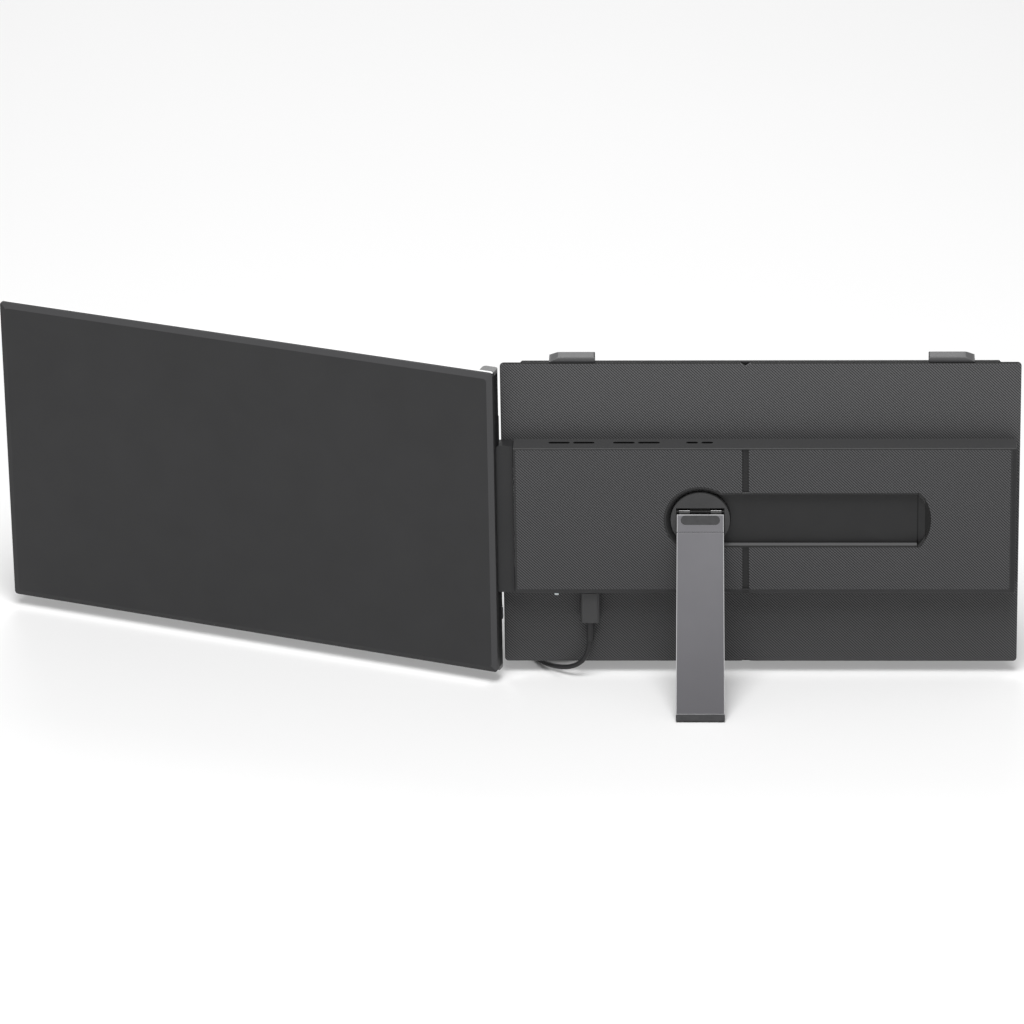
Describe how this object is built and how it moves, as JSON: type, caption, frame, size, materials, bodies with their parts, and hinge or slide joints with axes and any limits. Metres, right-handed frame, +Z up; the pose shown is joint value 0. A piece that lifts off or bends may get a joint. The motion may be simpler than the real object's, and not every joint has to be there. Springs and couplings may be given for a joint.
{
  "type": "laptop screen extender",
  "caption": "Bracket that hangs on a laptop's lid, with a hinged side screen on a sliding arm, spring clips, a folding kickstand and a USB-C cable.",
  "frame": {"origin": "centre of the bracket's lid face, the flat front of the plate that rests on the back of the laptop's lid", "axes": "+Y out of the lid face towards the laptop's user, +X to the right seen from behind the laptop, away from the hinged screen, +Z up"},
  "size_m": [0.624, 0.1663, 0.2105],
  "materials": {
    "cover_paint": "fine matt",
    "front_black": "matt",
    "silicone": "soft matt",
    "screw_steel": "blackened",
    "clip_metal": "satin",
    "spring_steel": "bright",
    "band_plastic": "fine matt",
    "band_weave": "fine diagonal weave",
    "tray_plastic": "matt",
    "disc_plastic": "coarse matt",
    "pin_black": "blackened",
    "leg_metal": "satin",
    "knuckle_metal": "bright",
    "foot_rubber": "matt",
    "arm_metal": "satin",
    "slider_steel": "brushed",
    "rail_plastic": "slick",
    "screen_shell": "fine matt",
    "screen_frame": "matt",
    "screen_glass": "anti-glare",
    "lcd_dark": "dark",
    "board_green": "solder mask",
    "spine_plastic": "matt",
    "spine_cap_grey": "light satin",
    "bush_brass": "machined",
    "button_plastic": "matt",
    "port_steel": "bright",
    "led_white": "clear white",
    "plug_plastic": "matt",
    "cable_jacket": "matt",
    "tie_strap": "hook and loop"
  },
  "bodies": {
    "bracket": {"rear_cover": "cover_paint", "front_plate": "front_black", "lid_pads": "silicone", "plate_screws": "screw_steel", "band_screws": "screw_steel", "clip_left_spring": "spring_steel", "clip_right_spring": "spring_steel", "band_housing": "band_plastic", "band_end_cap": "band_plastic", "weave_pad_left": "band_weave", "weave_pad_right": "band_weave", "kickstand_tray": "tray_plastic", "swivel_washer": "spring_steel", "arm_guides": "rail_plastic", "main_board": "board_green", "board_screws": "screw_steel", "usb_c_port": "port_steel", "status_led": "led_white", "plug_shell": "port_steel", "plug_body": "plug_plastic", "plug_strain_relief": "cable_jacket", "cable_lead": "cable_jacket", "cable_coil": "cable_jacket", "cable_tie": "tie_strap", "cable_tail": "cable_jacket", "far_plug_shell": "port_steel", "far_plug_body": "plug_plastic", "far_strain_relief": "cable_jacket"},
    "arm": {"arm_knuckle": "arm_metal", "arm_slider": "slider_steel", "arm_screws": "screw_steel", "hinge_pin": "spring_steel"},
    "screen": {"screen_back_cover": "screen_shell", "screen_bezel": "screen_frame", "display_glass": "screen_glass", "lcd_module": "lcd_dark", "driver_board": "board_green", "spine_upper": "spine_plastic", "spine_lower": "spine_plastic", "spine_cap_top": "spine_cap_grey", "spine_cap_bottom": "spine_cap_grey", "hinge_bushes": "bush_brass"},
    "power_key": {"power_button": "button_plastic"},
    "brighter_key": {"brighter_button": "button_plastic"},
    "dimmer_key": {"dimmer_button": "button_plastic"},
    "kick_disc": {"swivel_disc": "disc_plastic", "swivel_retainer": "spring_steel", "swivel_screw": "screw_steel", "leg_hinge_pin": "pin_black"},
    "kick_leg": {"leg_plate": "leg_metal", "leg_inlay": "foot_rubber", "leg_foot_pad": "foot_rubber", "leg_knuckles": "knuckle_metal"},
    "left_clip": {"clip_left": "clip_metal", "clip_left_pad": "silicone"},
    "right_clip": {"clip_right": "clip_metal", "clip_right_pad": "silicone"}
  },
  "joints": [
    {"name": "arm_slide", "type": "slide", "parent": "bracket", "child": "arm", "axis": [-1, 0, 0], "range_m": [0, 0.026]},
    {"name": "screen_hinge", "type": "hinge", "parent": "arm", "child": "screen", "pos_m": [-0.1598, -0.0042, 0], "axis": [0, 0, 1], "range_deg": [-160, 20]},
    {"name": "kick_swivel", "type": "hinge", "parent": "bracket", "child": "kick_disc", "pos_m": [-0.0362, -0.0168, 0.0022], "axis": [0, -1, 0], "range_deg": [0, 90]},
    {"name": "kick_tilt", "type": "hinge", "parent": "kick_disc", "child": "kick_leg", "pos_m": [-0.0362, -0.0168, 0.0073], "axis": [-1, 0, 0], "range_deg": [-13, 40]},
    {"name": "left_clip_slide", "type": "slide", "parent": "bracket", "child": "left_clip", "axis": [0, 0, 1], "range_m": [0, 0.02], "stiffness_N_per_m": 250, "springref_m": -0.02, "deforming": ["clip_left_spring"]},
    {"name": "right_clip_slide", "type": "slide", "parent": "bracket", "child": "right_clip", "axis": [0, 0, 1], "range_m": [0, 0.02], "stiffness_N_per_m": 250, "springref_m": -0.02, "deforming": ["clip_right_spring"]},
    {"name": "power_press", "type": "slide", "parent": "screen", "child": "power_key", "axis": [-0.342, -0.9397, 0], "range_m": [0, 0.0005], "stiffness_N_per_m": 1500, "springref_m": -0.0005},
    {"name": "brighter_press", "type": "slide", "parent": "screen", "child": "brighter_key", "axis": [-0.342, -0.9397, 0], "range_m": [0, 0.0005], "stiffness_N_per_m": 1500, "springref_m": -0.0005},
    {"name": "dimmer_press", "type": "slide", "parent": "screen", "child": "dimmer_key", "axis": [-0.342, -0.9397, 0], "range_m": [0, 0.0005], "stiffness_N_per_m": 1500, "springref_m": -0.0005}
  ]
}
